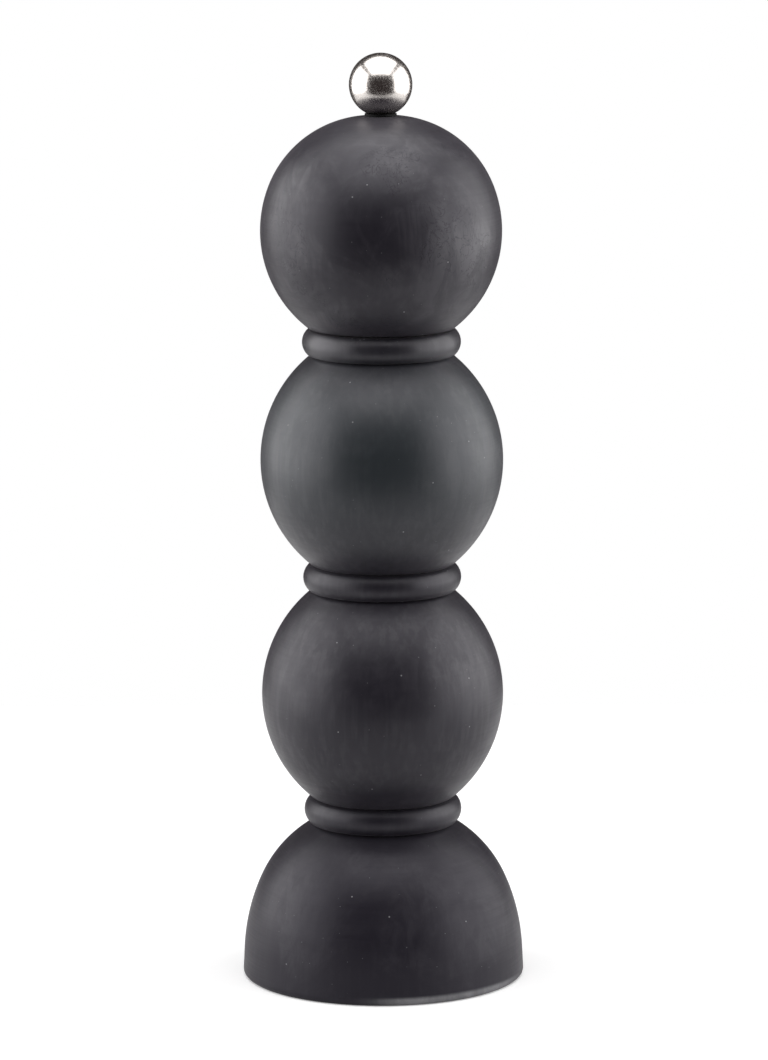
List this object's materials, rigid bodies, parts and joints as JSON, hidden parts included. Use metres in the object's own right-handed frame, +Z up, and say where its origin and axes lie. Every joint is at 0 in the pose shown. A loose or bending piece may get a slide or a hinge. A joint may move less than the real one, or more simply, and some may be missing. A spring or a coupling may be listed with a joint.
{
  "type": "pepper mill",
  "caption": "Turned bobbin-shaped pepper mill with a turning ball head, a steel ball nut on top and a ceramic grinder in its bell foot.",
  "frame": {"origin": "centre of the foot's resting face, on the turning axis", "axes": "+Z up along the turning axis; the three housing screws start at +Y"},
  "size_m": [0.073, 0.073, 0.24],
  "materials": {
    "lacquered_wood": "thin matt black lacquer on turned beech, raw inside the bores",
    "polished_steel": "mirror polished, faintly brushed",
    "black_nylon": "matt",
    "spindle_steel": "cold drawn, satin",
    "plate_steel": "stamped, satin",
    "spring_steel": "drawn wire",
    "plated_steel": "bright zinc plate",
    "housing_plastic": "moulded, fine texture",
    "burr_ceramic": "sintered, unglazed"
  },
  "bodies": {
    "mill_body": {"body": "lacquered_wood", "bridge": "plate_steel", "grinder_housing": "housing_plastic", "burr_ring": "burr_ceramic", "housing_screw_1": "plated_steel", "housing_screw_2": "plated_steel", "housing_screw_3": "plated_steel"},
    "spring_seat": {"spring_washer_top": "plate_steel", "spring": "spring_steel"},
    "grind_shaft": {"spindle": "spindle_steel", "burr_cone": "burr_ceramic", "burr_driver": "housing_plastic", "spring_washer_bottom": "plate_steel", "retaining_washer": "plate_steel", "lock_nut": "plated_steel"},
    "turning_head": {"head": "lacquered_wood", "drive_plate": "plate_steel", "plate_screw_1": "plated_steel", "plate_screw_2": "plated_steel", "plate_screw_3": "plated_steel"},
    "knob_seat": {"knob_washer": "black_nylon"},
    "ball_nut": {"knob": "polished_steel"}
  },
  "joints": [
    {"name": "head_turn", "type": "hinge", "parent": "mill_body", "child": "spring_seat", "pos_m": [0, 0, 0.1695], "axis": [0, 0, 1], "continuous": true},
    {"name": "grind_adjust", "type": "slide", "parent": "spring_seat", "child": "grind_shaft", "axis": [0, 0, 1], "range_m": [0, 0.0014], "deforming": ["spring"]},
    {"name": "head_lift", "type": "slide", "parent": "spring_seat", "child": "turning_head", "axis": [0, 0, 1], "range_m": [0, 0.08]},
    {"name": "knob_lift", "type": "slide", "parent": "turning_head", "child": "knob_seat", "axis": [0, 0, 1], "range_m": [0, 0.012]},
    {"name": "knob_turn", "type": "hinge", "parent": "knob_seat", "child": "ball_nut", "pos_m": [0, 0, 0.2246], "axis": [0, 0, 1], "range_deg": [-720, 0]}
  ],
  "couplings": [
    {"joint": "knob_turn", "follows": "grind_adjust", "rad_per_m": -8976}
  ]
}
